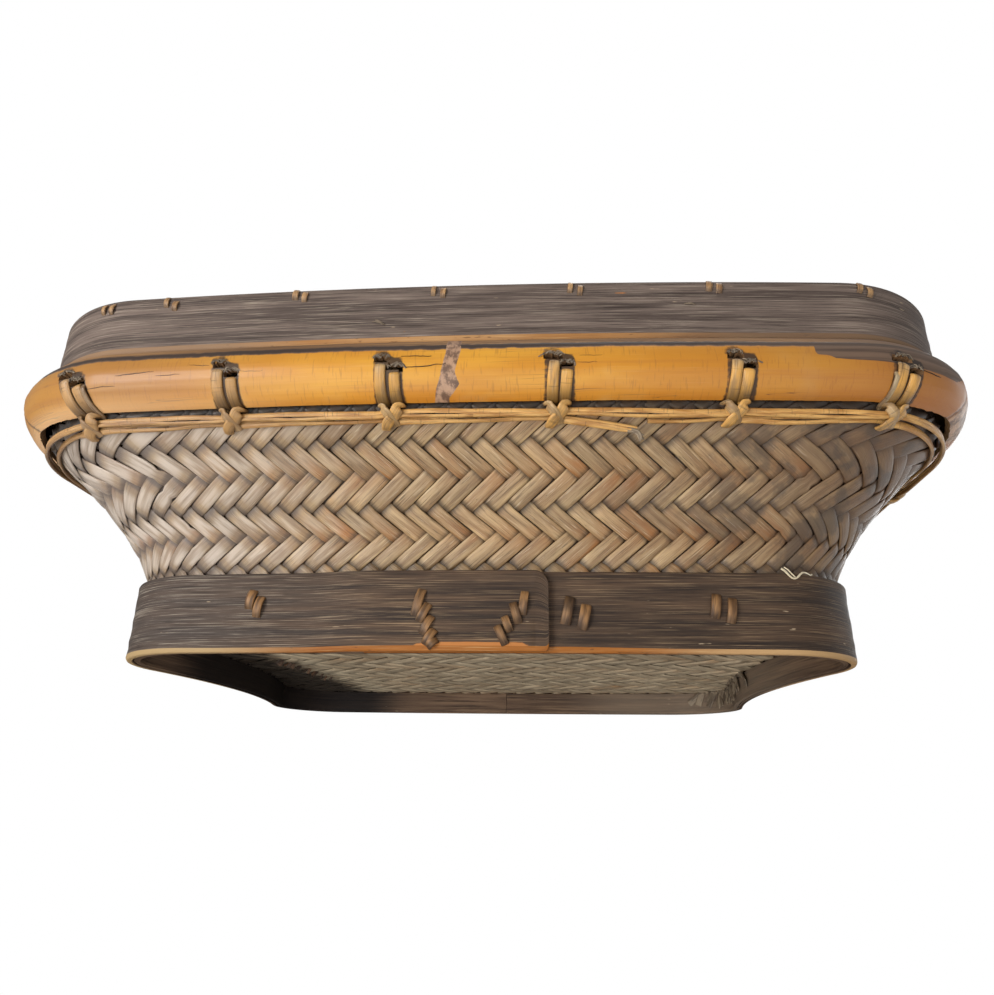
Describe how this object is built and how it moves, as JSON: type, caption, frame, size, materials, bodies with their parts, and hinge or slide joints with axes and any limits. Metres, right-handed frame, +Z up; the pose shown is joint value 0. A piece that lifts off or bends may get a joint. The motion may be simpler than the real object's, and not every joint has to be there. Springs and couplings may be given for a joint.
{
  "type": "lidded bamboo basket",
  "caption": "Rectangular woven bamboo basket with a flared body, a bent foot band, a lashed split-culm rail and a lift-off lid.",
  "frame": {"origin": "centre of the basket in plan, on the plane that the foot band stands on", "axes": "+X along the long side, the seen front faces -Y, +Z up out of the basket"},
  "size_m": [0.4538, 0.3944, 0.1571],
  "materials": {
    "dark_bamboo": "satin, smoke-darkened",
    "pale_edge": "bare",
    "weave": "satin, worn",
    "rail": "glossy culm skin",
    "cane": "satin",
    "lashing": "satin"
  },
  "bodies": {
    "basket": {"foot_band": "dark_bamboo", "foot_hoop": "pale_edge", "woven_bowl": "weave", "rail": "rail", "collar": "pale_edge", "running_cane_upper": "cane", "running_cane_lower": "cane", "lashing_front_1": "lashing", "lashing_front_2": "lashing", "lashing_front_3": "lashing", "lashing_front_4": "lashing", "lashing_front_5": "lashing", "lashing_front_6": "lashing", "lashing_back_1": "lashing", "lashing_back_2": "lashing", "lashing_back_3": "lashing", "lashing_back_4": "lashing", "lashing_back_5": "lashing", "lashing_back_6": "lashing", "lashing_right_1": "lashing", "lashing_right_2": "lashing", "lashing_right_3": "lashing", "lashing_left_1": "lashing", "lashing_left_2": "lashing", "lashing_left_3": "lashing"},
    "lid": {"lid_band": "dark_bamboo", "lid_panel": "weave"}
  },
  "joints": [
    {"name": "lid_lift", "type": "slide", "parent": "basket", "child": "lid", "axis": [0, 0, 1], "range_m": [0, 0.1]}
  ]
}
